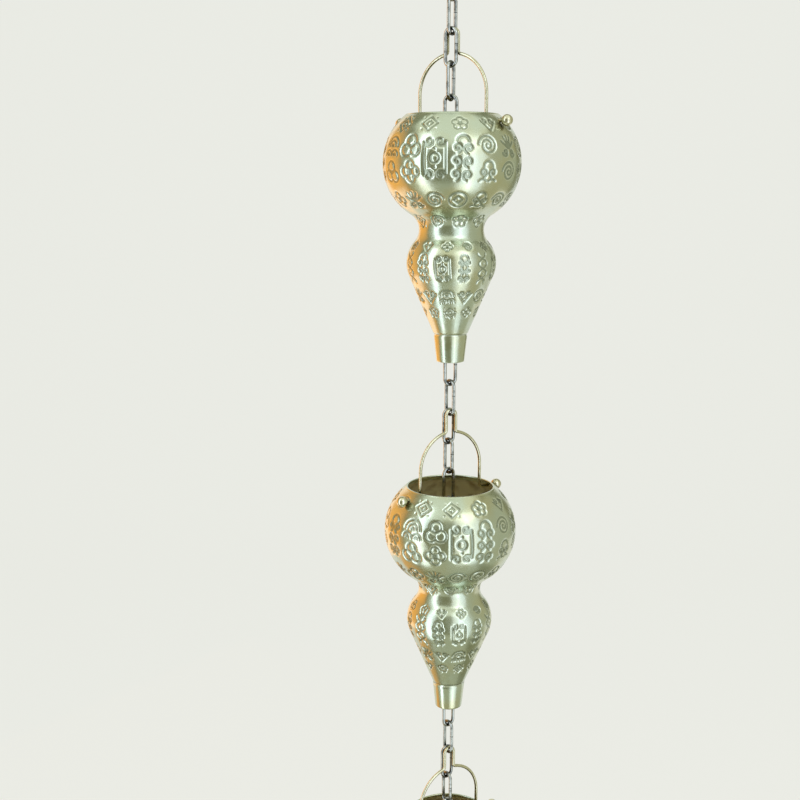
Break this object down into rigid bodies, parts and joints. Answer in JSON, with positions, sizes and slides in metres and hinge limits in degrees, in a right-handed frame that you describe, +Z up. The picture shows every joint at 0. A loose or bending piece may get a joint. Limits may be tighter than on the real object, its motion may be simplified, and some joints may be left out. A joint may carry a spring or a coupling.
{
  "type": "rain chain",
  "caption": "Hanging rain chain of double-bulb gourd cups with sunken ornament, each hung by a wire bail on an oval-link chain that runs on through its mouth and spout.",
  "frame": {"origin": "inside the top bow of the hanging hook, where the chain hangs from its support", "axes": "+Z up along the chain, which hangs down -Z; the picture looks along +Y with +X to the right"},
  "size_m": [0.0666, 0.067, 0.605],
  "materials": {
    "cast_brass": "pale cast brass with dark sunken ornament",
    "brass_wire": "bright drawn wire",
    "chain_steel": "dark nickel-plated wire"
  },
  "bodies": {
    "hook": {"hanging_hook": "chain_steel"},
    "link_01": {"link_01": "chain_steel"},
    "link_02": {"link_02": "chain_steel"},
    "bail_1": {"bail_1": "brass_wire", "bail_beads_1": "brass_wire", "link_03": "chain_steel"},
    "gourd_1": {"gourd_1": "cast_brass"},
    "inner_chain_1": {"link_04": "chain_steel", "link_05": "chain_steel", "link_06": "chain_steel", "link_07": "chain_steel", "link_08": "chain_steel", "link_09": "chain_steel", "link_10": "chain_steel", "link_11": "chain_steel", "link_12": "chain_steel"},
    "link_13": {"link_13": "chain_steel"},
    "link_14": {"link_14": "chain_steel"},
    "bail_2": {"bail_2": "brass_wire", "bail_beads_2": "brass_wire", "link_15": "chain_steel"},
    "gourd_2": {"gourd_2": "cast_brass"},
    "inner_chain_2": {"link_16": "chain_steel", "link_17": "chain_steel", "link_18": "chain_steel", "link_19": "chain_steel", "link_20": "chain_steel", "link_21": "chain_steel", "link_22": "chain_steel", "link_23": "chain_steel", "link_24": "chain_steel"},
    "link_25": {"link_25": "chain_steel"},
    "link_26": {"link_26": "chain_steel"},
    "bail_3": {"bail_3": "brass_wire", "bail_beads_3": "brass_wire", "link_27": "chain_steel"},
    "gourd_3": {"gourd_3": "cast_brass"},
    "inner_chain_3": {"link_28": "chain_steel", "link_29": "chain_steel", "link_30": "chain_steel", "link_31": "chain_steel", "link_32": "chain_steel", "link_33": "chain_steel", "link_34": "chain_steel", "link_35": "chain_steel", "link_36": "chain_steel"},
    "link_37": {"link_37": "chain_steel"},
    "link_38": {"link_38": "chain_steel"}
  },
  "joints": [
    {"name": "hook_swing", "type": "hinge", "parent": "hook", "child": "link_01", "pos_m": [0, 0, -0.0337], "axis": [-0.5736, -0.8192, 0], "range_deg": [-45, 45]},
    {"name": "link_02_swing", "type": "hinge", "parent": "link_01", "child": "link_02", "pos_m": [0, 0, -0.04825], "axis": [0.8192, -0.5736, 0], "range_deg": [-45, 45]},
    {"name": "bail_1_swing", "type": "hinge", "parent": "link_02", "child": "bail_1", "pos_m": [0, 0, -0.06325], "axis": [0.5736, 0.8192, 0], "range_deg": [-30, 30]},
    {"name": "gourd_1_tilt", "type": "hinge", "parent": "bail_1", "child": "gourd_1", "pos_m": [0.00054, 0.00078, -0.10276], "axis": [0.8192, -0.5736, 0], "range_deg": [-8, 8]},
    {"name": "inner_chain_1_lean", "type": "hinge", "parent": "bail_1", "child": "inner_chain_1", "pos_m": [-0.00052, -0.00074, -0.07768], "axis": [0.8192, -0.5736, 0], "range_deg": [-8, 8]},
    {"name": "link_13_swing", "type": "hinge", "parent": "inner_chain_1", "child": "link_13", "pos_m": [0.00044, 0.00062, -0.21268], "axis": [-0.379, 0.9254, 0], "range_deg": [-18, 18]},
    {"name": "link_14_swing", "type": "hinge", "parent": "link_13", "child": "link_14", "pos_m": [0.00054, 0.00078, -0.22768], "axis": [-0.8777, -0.4792, 0], "range_deg": [-45, 45]},
    {"name": "bail_2_swing", "type": "hinge", "parent": "link_14", "child": "bail_2", "pos_m": [0.00054, 0.00078, -0.24268], "axis": [0.5736, -0.8192, 0], "range_deg": [-30, 30]},
    {"name": "gourd_2_tilt", "type": "hinge", "parent": "bail_2", "child": "gourd_2", "pos_m": [0.00109, 0, -0.28219], "axis": [-0.8192, -0.5736, 0], "range_deg": [-8, 8]},
    {"name": "inner_chain_2_lean", "type": "hinge", "parent": "bail_2", "child": "inner_chain_2", "pos_m": [0.00003, 0.00152, -0.25711], "axis": [-0.8192, -0.5736, 0], "range_deg": [-8, 8]},
    {"name": "link_25_swing", "type": "hinge", "parent": "inner_chain_2", "child": "link_25", "pos_m": [0.00098, 0.00015, -0.39211], "axis": [0.5736, -0.8192, 0], "range_deg": [-18, 18]},
    {"name": "link_26_swing", "type": "hinge", "parent": "link_25", "child": "link_26", "pos_m": [0.00109, 0, -0.40711], "axis": [0.8192, 0.5736, 0], "range_deg": [-45, 45]},
    {"name": "bail_3_swing", "type": "hinge", "parent": "link_26", "child": "bail_3", "pos_m": [0.00109, 0, -0.42211], "axis": [-0.5736, 0.8192, 0], "range_deg": [-30, 30]},
    {"name": "gourd_3_tilt", "type": "hinge", "parent": "bail_3", "child": "gourd_3", "pos_m": [0.00163, -0.00078, -0.46162], "axis": [0.8192, 0.5736, 0], "range_deg": [-8, 8]},
    {"name": "inner_chain_3_lean", "type": "hinge", "parent": "bail_3", "child": "inner_chain_3", "pos_m": [0.00057, 0.00074, -0.43654], "axis": [0.8192, 0.5736, 0], "range_deg": [-8, 8]},
    {"name": "link_37_swing", "type": "hinge", "parent": "inner_chain_3", "child": "link_37", "pos_m": [0.00152, -0.00062, -0.57154], "axis": [-0.5736, 0.8192, 0], "range_deg": [-18, 18]},
    {"name": "link_38_swing", "type": "hinge", "parent": "link_37", "child": "link_38", "pos_m": [0.00163, -0.00078, -0.58654], "axis": [-0.8192, -0.5736, 0], "range_deg": [-45, 45]}
  ],
  "couplings": [
    {"joint": "inner_chain_1_lean", "follows": "gourd_1_tilt", "ratio": 0.8189},
    {"joint": "inner_chain_2_lean", "follows": "gourd_2_tilt", "ratio": 0.8189},
    {"joint": "inner_chain_3_lean", "follows": "gourd_3_tilt", "ratio": 0.8189}
  ]
}
